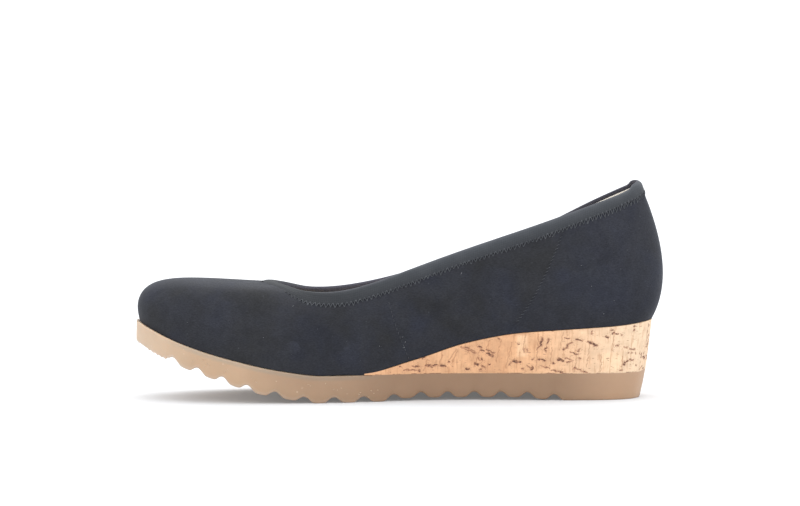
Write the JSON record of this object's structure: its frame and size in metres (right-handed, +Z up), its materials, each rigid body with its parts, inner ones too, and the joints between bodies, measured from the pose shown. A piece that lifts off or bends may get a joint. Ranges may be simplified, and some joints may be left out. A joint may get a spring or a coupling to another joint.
{
  "type": "low wedge pump",
  "caption": "Slip-on round-toe suede pump for the right foot, with an elastic topline, a low cork wedge and a rippled rubber outsole.",
  "frame": {"origin": "bottom centre of the shoe's box, on the floor under the middle of the shoe", "axes": "+X towards the heel, so the toe points to -X; +Y towards the lateral (outer) side, so the medial side faces -Y; +Z up"},
  "size_m": [0.2584, 0.0894, 0.1055],
  "materials": {
    "crepe_rubber": "satin tan rubber, slightly translucent",
    "cork": "matt cork veneer with dark flecks",
    "lining": "smooth cream lining leather",
    "suede": "napped navy suede",
    "elastic": "fine ribbed navy elastic"
  },
  "bodies": {
    "root": {"outsole": "crepe_rubber", "wedge": "cork", "insole": "lining", "upper": "suede", "topline_binding": "elastic"}
  },
  "joints": []
}
